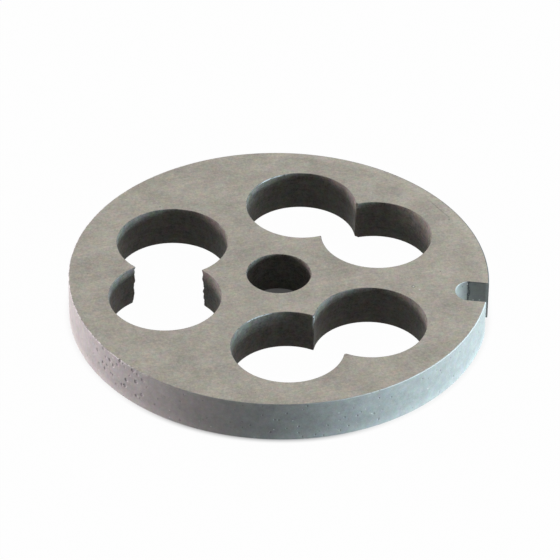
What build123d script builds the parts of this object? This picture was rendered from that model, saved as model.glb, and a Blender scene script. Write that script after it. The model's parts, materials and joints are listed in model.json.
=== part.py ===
from build123d import *
from math import asin, degrees
import os

# Plate of a size 8 meat grinder, in millimetres: one ground steel disc with three large
# openings for coarse work. It lies flat, with +Z up along its bore, the origin at the
# middle of the bore on the lower face, and the keyway towards +X. Both faces are alike.

# Disc
plate_diameter = 62.0   # drops into the ring at the mouth of the grinder
plate_thickness = 6.35
rim_chamfer = 0.2       # on the upper and the lower edge of the rim
bore_diameter = 9.5     # the spigot of the feed screw turns in it

# Openings: each is a pair of equal holes that run into one another. The metal that is
# left around the holes sets how large they are and where they stand.
opening_count = 3
rim_web = 5.15          # from a hole to the rim
hub_web = 4.6           # from a hole to the bore
spoke_web = 5.0         # between neighbouring holes of two openings
opening_lead = 4.4      # degrees that the openings are turned, anticlockwise from above

# Keyway for the locating pin in the ring
keyway_width = 4.5
keyway_depth = 4.8       # from the rim to the round inner end
keyway_end_extra = 0.15  # the end's radius is this much more than half the width

plate_radius = plate_diameter / 2
bore_radius = bore_diameter / 2

# The holes fill the band between the hub and the rim
hole_diameter = plate_radius - rim_web - hub_web - bore_radius
pitch_radius = bore_radius + hub_web + hole_diameter / 2

# Spokes of equal width part the openings, and each opening's two holes share the angle
# that is left between its spokes
opening_step = 360 / opening_count
spoke_angle = 2 * degrees(asin((hole_diameter + spoke_web) / 2 / pitch_radius))
pair_angle = opening_step - spoke_angle

# With no lead, the keyway would stand midway between two openings
first_opening = opening_step / 2 + opening_lead

keyway_end_radius = keyway_width / 2 + keyway_end_extra
keyway_end_middle = plate_radius - keyway_depth + keyway_end_radius

with BuildPart() as plate:
    # Turned disc
    with BuildSketch():
        Circle(plate_radius)
    extrude(amount=plate_thickness)
    chamfer(plate.edges().filter_by(GeomType.CIRCLE), length=rim_chamfer)

    # Bore, with sharp edges, because both faces are ground flat after it is cut
    Hole(bore_radius)

    # Paired holes: the two circles of a pair fuse, and leave a sharp ridge on each side
    # where they cross. The upper and lower edges are the cutting edges, so they stay sharp.
    with BuildSketch():
        for side in (-1, 1):
            hole_angle = first_opening + side * pair_angle / 2
            with PolarLocations(pitch_radius, opening_count, start_angle=hole_angle):
                Circle(hole_diameter / 2)
    extrude(amount=plate_thickness, mode=Mode.SUBTRACT)

    # Keyway: a straight slot that runs out past the rim. Its inner end is a little flatter
    # than a half circle, so it meets the slot's sides at two shallow corners.
    with BuildSketch():
        with Locations((keyway_end_middle, 0)):
            Circle(keyway_end_radius)
            Rectangle(2 * keyway_depth, keyway_width, align=(Align.MIN, Align.CENTER))
        Rectangle(2 * plate_diameter, keyway_width, mode=Mode.INTERSECT)
    extrude(amount=plate_thickness, mode=Mode.SUBTRACT)

plate.part.label = "grinder_plate"

os.makedirs("parts", exist_ok=True)
export_step(plate.part, "parts/grinder_plate.step")
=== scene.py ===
import bpy
import json
from math import cos, pi, radians, sin
from mathutils import Matrix, Vector


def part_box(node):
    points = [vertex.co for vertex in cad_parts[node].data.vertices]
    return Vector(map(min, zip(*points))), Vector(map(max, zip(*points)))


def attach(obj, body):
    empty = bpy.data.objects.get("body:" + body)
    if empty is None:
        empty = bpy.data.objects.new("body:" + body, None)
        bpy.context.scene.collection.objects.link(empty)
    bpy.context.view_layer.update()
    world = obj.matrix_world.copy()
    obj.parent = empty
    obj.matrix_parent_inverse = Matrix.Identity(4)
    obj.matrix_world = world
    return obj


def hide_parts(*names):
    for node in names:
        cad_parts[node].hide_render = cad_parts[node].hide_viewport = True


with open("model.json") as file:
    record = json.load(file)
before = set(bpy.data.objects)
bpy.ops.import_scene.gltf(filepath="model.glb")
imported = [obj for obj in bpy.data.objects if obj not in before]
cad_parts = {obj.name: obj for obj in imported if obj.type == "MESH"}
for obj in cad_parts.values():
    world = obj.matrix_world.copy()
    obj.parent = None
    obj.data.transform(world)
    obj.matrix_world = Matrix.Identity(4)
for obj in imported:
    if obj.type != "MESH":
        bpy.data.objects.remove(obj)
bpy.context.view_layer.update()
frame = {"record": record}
mm = 0.001
mounts = {mount["name"]: mount["dims"] for mount in frame["record"]["mounts"]}
print("frame loaded")


# A socket that takes part in Python expressions: the operators add Math nodes.
class Wire:
    def __init__(self, graph, socket):
        self.graph = graph
        self.socket = socket

    def math(self, operation, *others, clamp=False):
        values = dict(enumerate((self,) + others))
        return self.graph.add("ShaderNodeMath", {"operation": operation, "use_clamp": clamp}, values)

    def __add__(self, other):
        return self.math("ADD", other)

    def __sub__(self, other):
        return self.math("SUBTRACT", other)

    def __rsub__(self, other):
        return self.math("MULTIPLY_ADD", -1.0, other)

    def __mul__(self, other):
        return self.math("MULTIPLY", other)

    def __truediv__(self, other):
        return self.math("DIVIDE", other)

    def __rtruediv__(self, other):
        return self.math("POWER", -1.0) * other

    __radd__ = __add__
    __rmul__ = __mul__

    def sine(self):
        return self.math("SINE")

    def cosine(self):
        return self.math("COSINE")

    def floor(self):
        return self.math("FLOOR")

    def root(self):
        return self.math("SQRT")

    def clamped(self):
        return self.math("ADD", 0.0, clamp=True)

    def atLeast(self, other):
        return self.math("MAXIMUM", other)

    def above(self, other):
        return self.math("GREATER_THAN", other)

    def absolute(self):
        return self.math("ABSOLUTE")

    # 0 at low, 1 at high, smooth between; low may be the larger one
    def step(self, low, high):
        return self.graph.add("ShaderNodeMapRange", {"interpolation_type": "SMOOTHSTEP"}, {
            "Value": self, "From Min": low, "From Max": high})

    def out(self, name):
        return Wire(self.graph, self.socket.node.outputs[name])


# Nodes of a material, of the world or of a geometry tree
class Graph:
    def __init__(self, tree):
        self.tree = tree
        tree.nodes.clear()

    # Settings come first, because they decide which sockets are in use. A socket is named, or
    # counted among those in use, and one that takes several wires is given a list.
    def add(self, kind, settings=None, sockets=None):
        node = self.tree.nodes.new(kind)
        for name, value in (settings or {}).items():
            setattr(node, name, value)
        used = [socket for socket in node.inputs if socket.enabled]
        for key, value in (sockets or {}).items():
            socket = used[key] if isinstance(key, int) else next(s for s in used if s.name == key)
            for wire in reversed(value) if isinstance(value, list) else [value]:
                if isinstance(wire, Wire):
                    self.tree.links.new(wire.socket, socket)
                else:
                    socket.default_value = wire
        return Wire(self, next((s for s in node.outputs if s.enabled), None))

    def vector(self, x, y, z):
        return self.add("ShaderNodeCombineXYZ", {}, {"X": x, "Y": y, "Z": z})

    def axes(self, vector):
        split = self.add("ShaderNodeSeparateXYZ", {}, {"Vector": vector})
        return split.out("X"), split.out("Y"), split.out("Z")

    def vectorMath(self, operation, *values):
        return self.add("ShaderNodeVectorMath", {"operation": operation}, dict(enumerate(values)))

    def scaled(self, vector, factor):
        return self.add("ShaderNodeVectorMath", {"operation": "SCALE"}, {
            "Vector": vector, "Scale": factor})

    def noise(self, vector, size, detail=2.0, roughness=0.5):
        return self.add("ShaderNodeTexNoise", {}, {
            "Vector": vector, "Scale": 1 / size, "Detail": detail, "Roughness": roughness})


# A material's nodes; its sizes and places are in millimetres.
class Surface(Graph):
    def __init__(self, name):
        self.material = bpy.data.materials.new(name)
        self.material.use_nodes = True
        super().__init__(self.material.node_tree)
        self.place = self.scaled(self.add("ShaderNodeTexCoord").out("Object"), 1 / mm)
        self.x, self.y, self.z = self.axes(self.place)

    def moved(self, *offset):
        return self.vectorMath("ADD", self.place, offset)

    # distance from the plate's middle, seen from above
    def radius(self):
        return (self.x * self.x + self.y * self.y).root()

    # a patch with soft edges: it grows along each axis from the first place to the second
    def patch(self, *edges):
        masks = [getattr(self, axis).step(start, end) for axis, start, end in edges]
        whole = masks[0]
        for mask in masks[1:]:
            whole = whole * mask
        return whole

    # noise drawn out along one direction of the face
    def drawn(self, angle, length, width, seed, detail=2.0):
        turned = self.add("ShaderNodeMapping", {}, {
            "Vector": self.place, "Location": (seed, 0, 0), "Rotation": (0, 0, -angle)})
        drawn = self.add("ShaderNodeMapping", {}, {
            "Vector": turned, "Scale": (1 / length, 1 / width, 1)})
        return self.noise(drawn, 1.0, detail)

    # round spots: 1 in the middle of a spot, 0 outside it, in this share of the cells
    def spots(self, size, spacing, share, offset=0.0):
        cells = self.add("ShaderNodeTexVoronoi", {}, {
            "Vector": self.moved(offset, 0, 0), "Scale": 1 / spacing})
        pick = self.add("ShaderNodeSeparateColor", {}, {"Color": cells.out("Color")}).out("Red")
        return (cells.out("Distance") * spacing).step(size, size * 0.3) * (1 - pick.above(share))

    # the rounded edge between a wall and a face: 1 on it, 0 away from it
    def onEdge(self, reach):
        fromFace = self.z.math("MINIMUM", plateSize["thickness"] / mm - self.z)
        return fromFace.step(reach, reach * 0.4)

    # one round dot on the upper face
    def dot(self, x, y, size):
        middle = (x, y, plateSize["thickness"] / mm)
        return self.vectorMath("DISTANCE", self.place, middle).step(size, size * 0.4)

    # one straight scratch from one place of the face to another
    def scratch(self, start, end, width):
        middle = (Vector(start) + Vector(end)) / 2
        reach = (Vector(end) - middle).length
        along = (Vector(end) - middle) / reach
        offset = self.moved(-middle.x, -middle.y, 0)
        across = self.vectorMath("DOT_PRODUCT", offset, (-along.y, along.x, 0)).absolute()
        down = self.vectorMath("DOT_PRODUCT", offset, (along.x, along.y, 0)).absolute()
        return across.step(width, width * 0.3) * down.step(reach, reach * 0.6)

    def mixed(self, factor, first, second):
        return self.add("ShaderNodeMix", {"data_type": "RGBA"}, {
            "Factor": factor, "A": first, "B": second})

    # a plain colour whose shade and hue wander
    def wandering(self, colour, shade, size, amount):
        drift = self.noise(self.moved(9.0, 5.0, 2.0), size, 3.0, 0.7).out("Color")
        hue = self.vectorMath("MULTIPLY_ADD", drift, (amount,) * 3, (1 - amount / 2,) * 3)
        return self.scaled(self.vectorMath("MULTIPLY", hue, colour), shade)

    def finish(self, sockets, height, depth):
        bump = self.add("ShaderNodeBump", {}, {
            "Height": height, "Distance": depth * mm, "Strength": 1.0})
        shader = self.add("ShaderNodeBsdfPrincipled", {}, {**sockets, "Normal": bump})
        self.add("ShaderNodeOutputMaterial", {}, {"Surface": shader})
        return self.material


groundSteel = {
    "colour": (0.560, 0.524, 0.447),
    "metallic": 0.35,
    "roughness": 0.58,
    "grainSize": 7.0,           # millimetres, like all sizes in these three dictionaries
    "grainContrast": 1.25,
    "fleckSize": 0.4,
    "fleckContrast": 0.75,
    "lineAngle": radians(25),   # grinding lines
    "lineLength": 5.0,
    "lineWidth": 0.2,
    "lineContrast": 0.32,
    "lineRoughness": 0.12,
    "lineDepth": 0.004,
    "hueSize": 1.0,
    "hueContrast": 0.36,
    "crossAngle": 1.1,          # a few faint scratches cross the lines at this angle
    "crossLength": 6.0,
    "crossWidth": 0.12,
    "crossEdge": (0.66, 0.74),  # where the noise counts as a scratch
    "crossContrast": 0.07,
    "wornWidth": 1.6,           # along the rim, where the face is rubbed lighter,
    "wornWander": 5.0,          # with an edge that wanders over this length,
    "wornSide": (12, 34),       # from this X + Y on
    "wornContrast": 0.10,
    "wornRoughness": 0.06,
    "paintedLightContrast": 0.045,      # painted light: the face is a little paler towards the keyway, on the side of the brighter lamp
    "pitColour": (0.10, 0.095, 0.085, 1.0),
    "pitSize": 0.17,
    "pitSpacing": 2.6,
    "pitShare": 0.35,
    "pitStrength": 0.65,
    "pitDepth": 4.0,            # times the lines'
    "nick": (19.98, -0.17, 0.40),                           # X, Y and size
    "darkScratch": ((19.9, 21.7), (24.0, 17.1), 0.14),      # two ends and the width
    "darkStrength": 0.45,
    "paleColour": (0.80, 0.79, 0.76, 1.0),
    "gleams": ((19.98, -0.17, 0.22), (20.95, -0.75, 0.2)),  # the first is in the nick
    "paleScratch": ((-17.9, 21.4), (-16.6, 22.1), 0.12),
    "paleStrength": 0.5,
}


def groundFace():
    own = groundSteel
    g = Surface("groundSteel")
    grain = g.noise(g.place, own["grainSize"], detail=8.0, roughness=0.85)
    flecks = g.noise(g.place, own["fleckSize"], detail=2.0, roughness=0.9)
    lines = g.drawn(own["lineAngle"], own["lineLength"], own["lineWidth"], seed=3.0, detail=3.0)
    crossAngle = own["lineAngle"] + own["crossAngle"]
    crossing = g.drawn(crossAngle, own["crossLength"], own["crossWidth"], seed=41.0)
    crossing = crossing.step(*own["crossEdge"])
    rim = plateSize["plateRadius"] / mm
    radius = g.radius() + (g.noise(g.place, own["wornWander"]) - 0.5) * own["wornWidth"]
    worn = radius.step(rim - own["wornWidth"], rim - own["wornWidth"] * 0.6)
    worn = worn * (g.x + g.y).step(*own["wornSide"])
    shade = 1 + (grain - 0.5) * own["grainContrast"] + (lines - 0.5) * own["lineContrast"]
    shade = shade + (flecks - 0.5) * own["fleckContrast"] + crossing * own["crossContrast"]
    shade = shade + worn * own["wornContrast"] + g.x.step(0, rim) * own["paintedLightContrast"]
    colour = g.wandering(own["colour"], shade, own["hueSize"], own["hueContrast"])
    pale = g.scratch(*own["paleScratch"]) * own["paleStrength"]
    colour = g.mixed(pale, colour, own["paleColour"])
    dark = g.scratch(*own["darkScratch"]) * own["darkStrength"]
    pits = g.spots(own["pitSize"], own["pitSpacing"], own["pitShare"])
    pits = pits.atLeast(dark).atLeast(g.dot(*own["nick"]))
    colour = g.mixed(pits * own["pitStrength"], colour, own["pitColour"])
    for gleam in own["gleams"]:
        colour = g.mixed(g.dot(*gleam), colour, own["paleColour"])
    roughness = own["roughness"] + (lines - 0.5) * own["lineRoughness"]
    return g.finish({
        "Base Color": colour,
        "Metallic": own["metallic"],
        "Roughness": roughness - worn * own["wornRoughness"],
    }, lines + grain - pits * own["pitDepth"], own["lineDepth"])


# Patches are given as rows of axis, where the patch starts to grow and where it is whole.
rimSteel = {
    "colour": (0.43, 0.43, 0.42),
    "shine": 0.3,
    "roughness": 0.55,
    "grainSize": 1.6,
    "grainContrast": 1.1,
    "grainRoughness": 0.2,
    "grainDepth": 0.02,
    "ringAlong": 0.06,          # faint turning rings: how fast they change round the rim,
    "ringUp": 4.0,              # and up it
    "ringContrast": 0.06,
    "ringDepth": 0.2,           # times the grain's
    "cloudSize": 4.0,
    "cloudContrast": 0.16,
    "hueSize": 0.8,
    "hueContrast": 0.34,
    # painted light from the floor:
    "footLightReach": 2.0,           # the rim is lighter from this height down to its foot,
    "footLightContrast": 0.28,
    # painted shade on the front, which faces away from the lamps:
    "front": (("x", -7, 4), ("x", 20, 8), ("y", -20, -28)),     # and darker in front
    "frontShadeContrast": 0.16,
    "pitted": (("x", -14, -18), ("x", -25, -23), ("y", 0, -5), ("z", 0.8, 2)),
    "pitColour": (0.17, 0.15, 0.18, 1.0),
    "pitSize": 0.42,
    "pitSpacing": 0.95,
    "pitShare": 0.65,
    "finePitSize": 0.21,        # these are all round
    "finePitSpacing": 0.57,
    "finePitShare": 0.12,
    "finePitStrength": 0.5,
    "pitStrength": 0.6,
    "pitDepth": 6.0,            # times the grain's
    "glintSize": 0.16,
    "glintSpacing": 0.9,
    "glintShare": 0.2,
    "glintStrength": 0.6,
    "keywayReach": (0.3, 0.6),  # the keyway's faces lie this far inside the rim
    "keywayDarkColour": (0.10, 0.09, 0.07, 1.0),
    "keywayDarkening": 0.20,        # the keyway is darker, its straight sides most
    "flankDarkening": 0.22,         # its straight sides most
    "flankEdge": 0.3,
    "creasePlace": 27.85,         # where a dark line, bumped in as a groove, runs down between a side and the end
    "creaseLineWidth": 0.15,
    "creaseLineWander": 1.6,
    "creaseLineStrength": 0.9,
    "edgeShare": 0.55,          # this much of the upper rounding can take the painted highlight
    "edgeColour": (0.92, 0.92, 0.90, 1.0),
    "highlightRight": (("x", 4, 20), ("y", 3, 1)),     # where the upper edge gets a painted highlight
    "highlightLeft": (("x", -12, -20),),
    "highlightGrain": (0.48, 0.54),
    "highlightStrength": 0.85,
    # painted highlight on the keyway's lip at its end
    "keywayHighlight": (("x", 28, 27), ("y", -1, 1)),
    "keywayHighlightStrength": 0.5,
    "darkEdge": (0.10, 0.10, 0.115, 1.0),
    "paintedShadeRight": (("x", 4, 12), ("y", 1, 3)),       # where it is dark,
    "darkKeyway": (("x", 28, 27.5),),               # where it gets painted shade, though not along this part of the keyway
    "darkStrength": 0.75,
}


def turnedRim():
    own = rimSteel
    g = Surface("rimSteel")
    grain = g.noise(g.place, own["grainSize"], detail=6.0, roughness=0.95)
    turned = g.vector(g.x * own["ringAlong"], g.y * own["ringAlong"], g.z * own["ringUp"])
    rings = g.noise(turned, 1.0)
    clouds = g.noise(g.moved(0, 0, 7.0), own["cloudSize"])
    rim = plateSize["plateRadius"] / mm
    near, deep = own["keywayReach"]
    inKeyway = g.radius().step(rim - near, rim - deep)
    shade = 1 + (grain - 0.5) * own["grainContrast"] + (rings - 0.5) * own["ringContrast"]
    shade = shade + (clouds - 0.5) * own["cloudContrast"]
    shade = shade + g.z.step(own["footLightReach"], 0) * own["footLightContrast"]
    shade = shade - g.patch(*own["front"]) * own["frontShadeContrast"]
    colour = g.wandering(own["colour"], shade, own["hueSize"], own["hueContrast"])

    place, edge = own["creasePlace"], own["flankEdge"]
    flank = g.x.step(place - edge, place + edge) * own["flankDarkening"]
    colour = g.mixed(inKeyway * (flank + own["keywayDarkening"]), colour, own["keywayDarkColour"])
    pits = g.spots(own["pitSize"], own["pitSpacing"], own["pitShare"]) * g.patch(*own["pitted"])
    fine = g.spots(own["finePitSize"], own["finePitSpacing"], own["finePitShare"], offset=5.0)
    pits = pits.atLeast(fine * own["finePitStrength"])
    colour = g.mixed(pits * own["pitStrength"], colour, own["pitColour"])
    glints = g.spots(own["glintSize"], own["glintSpacing"], own["glintShare"], offset=11.0)
    colour = g.mixed(glints * own["glintStrength"], colour, own["edgeColour"])
    creaseLine = (g.x + (grain - 0.5) * own["creaseLineWander"] - place).absolute()
    creaseLine = creaseLine.step(own["creaseLineWidth"], own["creaseLineWidth"] * 0.4) * inKeyway * g.y.above(0)
    colour = g.mixed(creaseLine * own["creaseLineStrength"], colour, own["darkEdge"])

    edge = g.onEdge(plateSize["rimBreak"] / mm)
    upperFrom = plateSize["thickness"] - plateSize["rimBreak"] * own["edgeShare"]
    upper = edge * g.z.above(upperFrom / mm)
    # painted highlight on the upper rounded edge, whole on the right and dotted on the left
    paintedHighlight = g.patch(*own["highlightLeft"]) * grain.step(*own["highlightGrain"])
    paintedHighlight = g.patch(*own["highlightRight"]) + paintedHighlight
    paintedHighlight = upper * paintedHighlight * own["highlightStrength"] * (1 - inKeyway)
    colour = g.mixed(paintedHighlight, colour, own["edgeColour"])
    # painted highlight on the keyway's lip
    lipHighlight = upper * inKeyway * g.patch(*own["keywayHighlight"]) * own["keywayHighlightStrength"]
    colour = g.mixed(lipHighlight, colour, own["edgeColour"])
    # painted shade on the rounded edge at the back right
    dark = g.patch(*own["paintedShadeRight"]) * (1 - inKeyway * g.patch(*own["darkKeyway"]))
    colour = g.mixed(edge * dark * own["darkStrength"], colour, own["darkEdge"])
    return g.finish({
        "Base Color": colour,
        "Metallic": 0.0,
        "Specular IOR Level": own["shine"],
        "Roughness": own["roughness"] + (grain - 0.5) * own["grainRoughness"],
    }, grain + rings * own["ringDepth"] - pits.atLeast(creaseLine) * own["pitDepth"], own["grainDepth"])


drillScale = {
    "colour": (0.185, 0.176, 0.156),
    "leastShade": 0.3,
    "shine": 0.15,
    "roughness": 0.6,
    "grainSize": 2.0,
    "grainContrast": 2.6,
    "grainDepth": 0.02,
    "ringAlong": 0.1,           # rings left by the drill: how fast they change round the hole,
    "ringSize": 0.3,            # and how high each one is
    "ringContrast": 0.6,
    "ringRoughness": 0.2,
    "fleckSize": 0.35,
    "fleckContrast": 1.1,
    "hueSize": 1.0,
    "hueContrast": 0.8,
    "footLightReach": 1.6,           # painted light from the floor: lighter from this height down to the foot
    "footLightContrast": 0.35,
    "boreShadeReach": (7, 6),        # painted shade: darker in the bore
    "boreShadeContrast": 0.22,
    "edgeColour": (0.30, 0.29, 0.27, 1.0),
    "edgeReach": 1.5,           # times the rounding of the edge
    "edgeGrain": (0.42, 0.56),
    "gleamColour": (0.85, 0.88, 0.90, 1.0),
    "gleamStrength": 0.8,
    "gleams": ((-4.3, 23.9, 3.2), (-1.6, -10.9, 2.8)),  # X, Y and size, along the upper edge
    "gleamReach": 3.0,          # times the rounding of the edge
    "gleamFlecks": (0.4, 0.5),
    "ridgeGleam": (6.47, -9.45, 3.4),
    "ridgeWidth": (0.35, 0.15),
    "ridgeFlecks": (0.42, 0.5),
}


def drilledWall():
    own = drillScale
    g = Surface("drillScale")
    grain = g.noise(g.place, own["grainSize"], detail=6.0, roughness=0.9)
    turned = g.vector(g.x * own["ringAlong"], g.y * own["ringAlong"], g.z / own["ringSize"])
    rings = g.noise(turned, 1.0, detail=3.0)
    flecks = g.noise(g.place, own["fleckSize"], detail=2.0, roughness=0.9)
    shade = 1 + (grain - 0.5) * own["grainContrast"] + (rings - 0.5) * own["ringContrast"]
    shade = shade + (flecks - 0.5) * own["fleckContrast"]
    shade = shade + g.z.step(own["footLightReach"], 0) * own["footLightContrast"]
    shade = shade - g.radius().step(*own["boreShadeReach"]) * own["boreShadeContrast"]
    shade = shade.atLeast(own["leastShade"])
    colour = g.wandering(own["colour"], shade, own["hueSize"], own["hueContrast"])
    rounding = plateSize["holeBreak"] / mm
    edge = g.onEdge(rounding * own["edgeReach"]) * grain.step(*own["edgeGrain"])
    colour = g.mixed(edge, colour, own["edgeColour"])
    first, second = own["gleams"]
    gleam = g.dot(*first).atLeast(g.dot(*second))
    gleam = gleam * g.onEdge(rounding * own["gleamReach"]) * flecks.step(*own["gleamFlecks"])
    ridgeX, ridgeY, reach = own["ridgeGleam"]
    aside = g.vectorMath("LENGTH", g.vector(g.x - ridgeX, g.y - ridgeY, 0.0))
    ridge = g.dot(ridgeX, ridgeY, reach) * aside.step(*own["ridgeWidth"])
    ridge = ridge * flecks.step(*own["ridgeFlecks"])
    gleam = gleam.atLeast(ridge) * own["gleamStrength"]
    return g.finish({
        "Base Color": g.mixed(gleam, colour, own["gleamColour"]),
        "Metallic": 0.0,
        "Specular IOR Level": own["shine"],
        "Roughness": own["roughness"] + (rings - 0.5) * own["ringRoughness"],
    }, rings + grain, own["grainDepth"])


low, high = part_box("grinder_plate")
plateSize = {
    "plateRadius": -low.x,          # the keyway is cut out of the other side
    "thickness": high.z - low.z,
    "boreRadius": mounts["bore"]["r_mm"] * mm,
    "holeRadius": 8.25 * mm,        # two such holes make one opening
    "hubWeb": 4.6 * mm,             # from a hole to the bore
    "spokeWeb": 5.0 * mm,           # between holes of neighbouring openings
    "openings": 3,
    "openingLead": radians(4.4),    # the openings are turned this far, anticlockwise from above
    "keywayWidth": 4.5 * mm,
    "keywayDepth": 4.8 * mm,
    "keywayEndExtra": 0.15 * mm,    # the end's radius is this much more than half the width
    "rimBreak": 0.16 * mm,          # the edges are rounded by this much
    "holeBreak": 0.07 * mm,
    "ridgeWear": 0.17 * mm,         # the ridge between two holes is worn back by about this,
    "ridgeLean": 0.30 * mm,         # and by this much more at its foot
    "seed": 4.0,                    # another number wears the ridges in other places
}
mesh = {
    "breakRings": 6,
    "rimRings": 10,
    "holeRings": 36,
    "rimColumns": 480,
    "keywaySideColumns": 6,
    "keywayEndColumns": 28,
    "boreColumns": 96,
    "lobeColumns": 60,
    "ridgeReach": 1.1 * mm,         # from a ridge to the next column
    "smoothAngle": radians(17),
    "mergeDistance": 0.001 * mm,
}


# Columns run round the wall and rings run up it, with a rounded edge below and above. Inset is
# how far the rounding draws a ring back into the metal.
def wallGrid(g, columns, walls, edgeBreak, thickness):
    breaks = mesh["breakRings"]
    rows = 2 * breaks + walls + 1
    grid = g.add("GeometryNodeMeshGrid", {}, {"Vertices X": columns + 1, "Vertices Y": rows})
    index = g.add("GeometryNodeInputIndex")
    column = ((index + 0.5) / rows).floor()
    ring = index - column * rows
    below = (1 - ring / breaks).clamped() * (pi / 2)
    above = ((ring - breaks - walls) / breaks).clamped() * (pi / 2)
    up = ((ring - breaks) / walls).clamped()
    z = edgeBreak + up * (thickness - edgeBreak * 2) + edgeBreak * (above.sine() - below.sine())
    inset = edgeBreak * (2 - above.cosine() - below.cosine())
    return grid, column, z, inset


def placed(g, grid, x, y, z):
    return g.add("GeometryNodeSetPosition", {}, {"Geometry": grid, "Position": g.vector(x, y, z)})


def joined(g, *parts):
    return g.add("GeometryNodeJoinGeometry", {}, {"Geometry": list(parts)})


def marked(g, geometry, name, value, domain="POINT"):
    return g.add("GeometryNodeStoreNamedAttribute", {"data_type": "FLOAT", "domain": domain}, {
        "Geometry": geometry, "Name": name, "Value": value})


def mark(g, name):
    return g.add("GeometryNodeInputNamedAttribute", {"data_type": "FLOAT"}, {"Name": name})


# The rim, and the keyway that opens through it at +X
def rimWall(g, size):
    ends, sides, around = mesh["keywayEndColumns"], mesh["keywaySideColumns"], mesh["rimColumns"]
    columns = around + sides * 2 + ends
    rings = mesh["rimRings"]
    grid, column, z, inset = wallGrid(g, columns, rings, size["rimBreak"], size["thickness"])
    radius = size["plateRadius"] - inset
    keywayInset = inset * (size["holeBreak"] / size["rimBreak"])
    half = size["keywayWidth"] / 2 + keywayInset
    mouth = (radius * radius - half * half).root()
    endRadius = size["keywayWidth"] / 2 + size["keywayEndExtra"]
    endMiddle = size["plateRadius"] - size["keywayDepth"] + endRadius
    endRadius = endRadius + keywayInset
    corner = (half / endRadius).math("ARCSINE")
    gap = (half / radius).math("ARCSINE")
    turn = gap + (column / around).clamped() * (2 * pi - gap * 2)
    inward = ((column - around) / sides).clamped()
    end = ((column - around - sides) / ends).clamped()
    outward = ((column - around - sides - ends) / sides).clamped()
    bow = corner * (end * 2 - 1)
    start = endMiddle - endRadius * corner.cosine()
    keywayX = mouth - (mouth - start) * (inward - outward) - endRadius * (bow.cosine() - corner.cosine())
    keywayY = endRadius * bow.sine()
    inKeyway = column.above(around + 0.5)
    x = radius * turn.cosine() * (1 - inKeyway) + keywayX * inKeyway
    y = radius * turn.sine() * (1 - inKeyway) + keywayY * inKeyway
    return placed(g, grid, x, y, z)


def boreWall(g, size):
    columns, rings = mesh["boreColumns"], mesh["holeRings"]
    grid, column, z, inset = wallGrid(g, columns, rings, size["holeBreak"], size["thickness"])
    radius = size["boreRadius"] + inset
    turn = column * (2 * pi / columns)
    wall = placed(g, grid, radius * turn.cosine(), radius * turn.sine(), z)
    return g.add("GeometryNodeFlipFaces", {}, {"Mesh": wall})


# Two drilled holes that run into each other, which leaves two ridges between them. The first and
# the last column of each hole stand on a ridge. X is the direction away from the plate's middle.
def openingWalls(g, size):
    perLobe = mesh["lobeColumns"]
    columns = 2 * (perLobe + 1)
    rings = mesh["holeRings"]
    grid, column, z, inset = wallGrid(g, columns, rings, size["holeBreak"], size["thickness"])
    column = column.math("FLOORED_MODULO", columns)
    lobe = column.above(perLobe + 0.5)
    along = column - lobe * (perLobe + 1)
    side = 1 - lobe * 2
    isFirst = 1 - along.above(0.5)
    isLast = along.above(perLobe - 0.5)
    radius = size["holeRadius"] + inset
    pitch = size["boreRadius"] + size["hubWeb"] + size["holeRadius"]
    spokeHalf = ((size["holeRadius"] * 2 + size["spokeWeb"]) / 2 / pitch).math("ARCSINE")
    pairHalf = pi / size["openings"] - spokeHalf
    apart = pitch * pairHalf.sine()         # from the opening's middle to a hole's middle
    out = pitch * pairHalf.cosine()
    cut = (apart / radius).math("ARCCOSINE")
    reach = mesh["ridgeReach"] / radius
    share = ((along - 1) / (perLobe - 2)).clamped()
    turn = cut + reach * (1 - isFirst + isLast) + share * (2 * pi - (cut + reach) * 2)
    x = out + side * radius * turn.sine()
    y = side * (apart - radius * turn.cosine())
    wall = placed(g, grid, x, y, z)
    wall = marked(g, wall, "ridge", side * (isFirst - isLast))  # 1 on the outer one, -1 on the inner one
    wall = marked(g, wall, "ridgeSide", side * (isFirst + isLast))
    middle = pi / size["openings"] + size["openingLead"]
    points = g.add("GeometryNodePoints", {}, {"Count": size["openings"]})
    spin = middle + g.add("GeometryNodeInputIndex") * 2 * pi / size["openings"]
    copies = g.add("GeometryNodeInstanceOnPoints", {}, {
        "Points": points, "Instance": wall, "Rotation": g.vector(0.0, 0.0, spin)})
    walls = wornRidges(g, g.add("GeometryNodeRealizeInstances", {}, {"Geometry": copies}), size, cut)
    return g.add("GeometryNodeFlipFaces", {}, {"Mesh": walls})


ridgeShape = {
    "biteSize": 0.9,            # millimetres
    "biteDetail": 3.0,
    "biteContrast": 5.0,        # the wear is ridgeWear times this much noise,
    "biteBase": 1.6,            # less this,
    "biteLeast": 0.1,           # and never less than this
    "leanFrom": -8 * mm,        # the ridges in front of this place don't lean,
    "leanFull": -2 * mm,        # and those behind this one lean fully
}


# Each ridge is worn back along both holes, unevenly up its length and more at its foot.
def wornRidges(g, walls, size, cut):
    own = ridgeShape
    position = g.add("GeometryNodeInputPosition")
    x, y, z = g.axes(position)
    spot = g.vectorMath("ADD", g.scaled(position, 1 / mm), g.vector(size["seed"], 0.0, 0.0))
    bite = g.noise(spot, own["biteSize"], own["biteDetail"]) * own["biteContrast"] - own["biteBase"]
    bite = bite.atLeast(own["biteLeast"])
    lean = (1 - z / size["thickness"]) * y.step(own["leanFrom"], own["leanFull"])
    back = size["ridgeWear"] * bite + size["ridgeLean"] * lean
    outwards = g.vectorMath("NORMALIZE", g.vector(x, y, 0.0))
    sideways = g.vectorMath("CROSS_PRODUCT", (0.0, 0.0, 1.0), outwards)
    aside = mark(g, "ridgeSide") * back * cut.math("TANGENT")
    out = mark(g, "ridge") * back
    move = g.vectorMath("ADD", g.scaled(outwards, out), g.scaled(sideways, aside))
    return g.add("GeometryNodeSetPosition", {}, {"Geometry": walls, "Offset": move})


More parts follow.
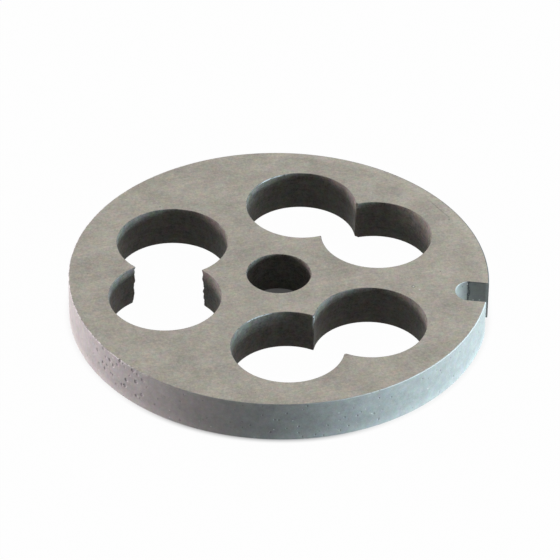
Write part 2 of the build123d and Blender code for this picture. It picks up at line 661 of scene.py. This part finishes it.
# One face of the plate, filled between the walls' open edges
def face(g, walls, size, isUpper):
    x, y, z = g.axes(g.add("GeometryNodeInputPosition"))
    neighbours = g.add("GeometryNodeInputMeshEdgeNeighbors")
    isOpen = g.add("FunctionNodeCompare", {"data_type": "INT", "operation": "EQUAL"}, {
        0: neighbours, 1: 1})
    isHigh = z.above(size["thickness"] / 2)
    outline = g.add("GeometryNodeMeshToCurve", {}, {
        "Mesh": walls, "Selection": isOpen * (isHigh if isUpper else 1 - isHigh)})
    filled = g.add("GeometryNodeFillCurve", {}, {"Curve": outline})
    sheet = placed(g, filled, x, y, size["thickness"] if isUpper else 0.0)
    flat = g.add("GeometryNodeSetShadeSmooth", {"domain": "FACE"}, {
        "Geometry": sheet, "Shade Smooth": False})
    return flat if isUpper else g.add("GeometryNodeFlipFaces", {}, {"Mesh": flat})


# "zone" says which material a polygon takes: the number of its place in materials
def plateTree(materials):
    tree = bpy.data.node_groups.new("grinderPlate", "GeometryNodeTree")
    g = Graph(tree)
    tree.interface.new_socket("Geometry", in_out="OUTPUT", socket_type="NodeSocketGeometry")
    sockets = {}
    for name in plateSize:
        kind = "NodeSocketInt" if name == "openings" else "NodeSocketFloat"
        sockets[name] = tree.interface.new_socket(name, in_out="INPUT", socket_type=kind)
    source = g.add("NodeGroupInput")
    size = {name: source.out(name) for name in plateSize}
    rim = marked(g, rimWall(g, size), "zone", 1.0, "FACE")
    walls = joined(g, rim, boreWall(g, size), openingWalls(g, size))
    walls = g.add("GeometryNodeMergeByDistance", {}, {
        "Geometry": walls, "Distance": mesh["mergeDistance"]})
    smooth = g.add("GeometryNodeSetShadeSmooth", {"domain": "FACE"}, {"Geometry": walls})
    faces = joined(g, face(g, walls, size, True), face(g, walls, size, False))
    faces = marked(g, faces, "zone", 2.0, "FACE")
    whole = g.add("GeometryNodeMergeByDistance", {}, {
        "Geometry": joined(g, smooth, faces), "Distance": mesh["mergeDistance"]})
    bend = g.add("GeometryNodeInputMeshEdgeAngle").out("Unsigned Angle")
    whole = g.add("GeometryNodeSetShadeSmooth", {"domain": "EDGE"}, {
        "Geometry": whole, "Selection": bend.above(mesh["smoothAngle"]), "Shade Smooth": False})
    whole = g.add("GeometryNodeRealizeInstances", {}, {"Geometry": whole})
    for number, material in enumerate(materials):
        whole = g.add("GeometryNodeSetMaterial", {}, {
            "Geometry": whole, "Selection": mark(g, "zone").above(number - 0.5), "Material": material})
    g.add("NodeGroupOutput", {}, {"Geometry": whole})
    return tree, {name: socket.identifier for name, socket in sockets.items()}


def makePlate():
    finishes = [drilledWall(), turnedRim(), groundFace()]
    print("finishes made:", ", ".join(material.name for material in finishes))
    tree, identifiers = plateTree(finishes)
    plate = bpy.data.objects.new("ground_plate", bpy.data.meshes.new("ground_plate"))
    bpy.context.scene.collection.objects.link(plate)
    nodes = plate.modifiers.new("grinderPlate", "NODES")
    nodes.node_group = tree
    for name, value in plateSize.items():
        nodes[identifiers[name]] = value
    evaluated = plate.evaluated_get(bpy.context.evaluated_depsgraph_get())
    made = bpy.data.meshes.new_from_object(evaluated)
    plate.modifiers.remove(nodes)
    plate.data = made
    made.name = "ground_plate"
    for name in ("zone", "ridge", "ridgeSide"):
        made.attributes.remove(made.attributes[name])
    print("plate made:", len(made.vertices), "points,", len(made.polygons), "faces")
    return plate


plate = makePlate()
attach(plate, "root")
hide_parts("grinder_plate")

studio = {
    "floorSize": 6.0,
    "floorDrop": 0.02 * mm,
    "floorColour": (0.50, 0.50, 0.50, 1.0),
    "floorWhite": 0.985,        # how far the seen floor goes to plain white
    "boreStart": (2.4, 3.7),    # the seen floor is shaded from this far from the middle, in mm,
    "boreEnd": (5.4, 6.2),      # to here, under the bore's wall,
    "boreWhite": 0.03,          # where this share of the white stays,
    "rimStart": (27, 28),       # and again from here
    "rimEnd": (-0.85, 0.95),    # to here, measured from the rim
    "sideStart": (8, 22),       # the shade is weaker at the plate's sides, from this X on,
    "sideWhite": 0.8,           # by this share
    "skyBack": 0.74,            # strength of the sky behind the plate,
    "skyFront": 0.09,           # and in front of it
    "skyTurn": 0.9,             # it turns from one to the other between -Y and +Y of this much
    "lampDistance": 1.0,
    "lampWidth": 0.7,
    "leftHeight": 0.10,
    "leftTall": 0.15,
    "leftPower": 13.0,
    "leftColour": (1.0, 0.86, 0.885),
    "leftTurn": 171.0,          # degrees round from +X
    "rightHeight": 0.065,
    "rightTall": 0.12,
    "rightPower": 15.5,
    "rightColour": (0.71, 0.915, 1.0),
    "rightTurn": 2.0,
}


# what a camera, a reflection or clear glass sees directly
def seenRays(g):
    rays = g.add("ShaderNodeLightPath")
    seen = rays.out("Is Camera Ray").atLeast(rays.out("Is Glossy Ray"))
    return seen.atLeast(rays.out("Is Transmission Ray"))


def makeFloor():
    half = studio["floorSize"] / 2
    z = -studio["floorDrop"]
    data = bpy.data.meshes.new("floor")
    corners = [(-half, -half, z), (half, -half, z), (half, half, z), (-half, half, z)]
    data.from_pydata(corners, [], [(0, 1, 2, 3)])
    floor = bpy.data.objects.new("floor", data)
    bpy.context.scene.collection.objects.link(floor)
    material = bpy.data.materials.new("paleFloor")
    material.use_nodes = True
    g = Graph(material.node_tree)
    x, y, z = g.axes(g.add("ShaderNodeTexCoord").out("Object"))
    fromMiddle = (x * x + y * y).root() / mm
    rim = plateSize["plateRadius"] / mm
    start, end = studio["rimEnd"]
    underBore = fromMiddle.step(*studio["boreStart"]) * (1 - studio["boreWhite"])
    underBore = underBore - fromMiddle.step(*studio["boreEnd"])
    underRim = fromMiddle.step(*studio["rimStart"]) - fromMiddle.step(rim + start, rim + end)
    paler = (x / mm).absolute().step(*studio["sideStart"]) * studio["sideWhite"]
    lit = 1 - underBore.atLeast(underRim) * (1 - paler)
    plain = g.add("ShaderNodeBsdfDiffuse", {}, {"Color": studio["floorColour"]})
    white = g.add("ShaderNodeEmission", {}, {"Strength": 1.0})
    share = seenRays(g) * lit * studio["floorWhite"]
    mix = g.add("ShaderNodeMixShader", {}, {0: share, 1: plain, 2: white})
    g.add("ShaderNodeOutputMaterial", {}, {"Surface": mix})
    data.materials.append(material)


def makeWorld():
    world = bpy.data.worlds.new("studio")
    world.use_nodes = True
    bpy.context.scene.world = world
    g = Graph(world.node_tree)
    x, y, z = g.axes(g.add("ShaderNodeTexCoord").out("Generated"))
    slope = y.step(-studio["skyTurn"], studio["skyTurn"])
    sky = studio["skyFront"] + slope * (studio["skyBack"] - studio["skyFront"])
    seen = seenRays(g)
    light = g.add("ShaderNodeBackground", {}, {"Strength": sky * (1 - seen) + seen})
    g.add("ShaderNodeOutputWorld", {}, {"Surface": light})


def makeLamp(name, side):
    turn = radians(studio[side + "Turn"])
    away = studio["lampDistance"]
    place = Vector((away * cos(turn), away * sin(turn), studio[side + "Height"]))
    lamp = bpy.data.lights.new(name, "AREA")
    lamp.shape = "RECTANGLE"
    lamp.size = studio["lampWidth"]
    lamp.size_y = studio[side + "Tall"]
    lamp.energy = studio[side + "Power"]
    lamp.color = studio[side + "Colour"]
    holder = bpy.data.objects.new(name, lamp)
    bpy.context.scene.collection.objects.link(holder)
    turned = place.to_track_quat("Z", "Y").to_matrix().to_4x4()     # it shines towards the plate
    holder.matrix_world = Matrix.Translation(place) @ turned


eye = {
    "aim": Vector((0.383, -1.553, 6.35)) * mm,      # what the camera looks at
    "azimuth": radians(7.288),      # round from -Y towards +X
    "elevation": radians(36.910),
    "distance": 597.47 * mm,
    "roll": radians(0.834),
    "lens": 261.15,                 # millimetres
    "clipStart": 0.01,
}


def makeCamera():
    azimuth, elevation = eye["azimuth"], eye["elevation"]
    level = cos(elevation)
    back = Vector((sin(azimuth) * level, -cos(azimuth) * level, sin(elevation)))
    camera = bpy.data.cameras.new("camera")
    camera.lens = eye["lens"]
    camera.clip_start = eye["clipStart"]
    holder = bpy.data.objects.new("camera", camera)
    bpy.context.scene.collection.objects.link(holder)
    turned = back.to_track_quat("Z", "Y").to_matrix().to_4x4()
    rolled = turned @ Matrix.Rotation(eye["roll"], 4, "Z")
    holder.matrix_world = Matrix.Translation(eye["aim"] + back * eye["distance"]) @ rolled
    bpy.context.scene.camera = holder


makeFloor()
makeWorld()
makeLamp("leftLamp", "left")
makeLamp("rightLamp", "right")
makeCamera()
bpy.context.scene.view_settings.view_transform = "Standard"
print("floor, light and camera set")
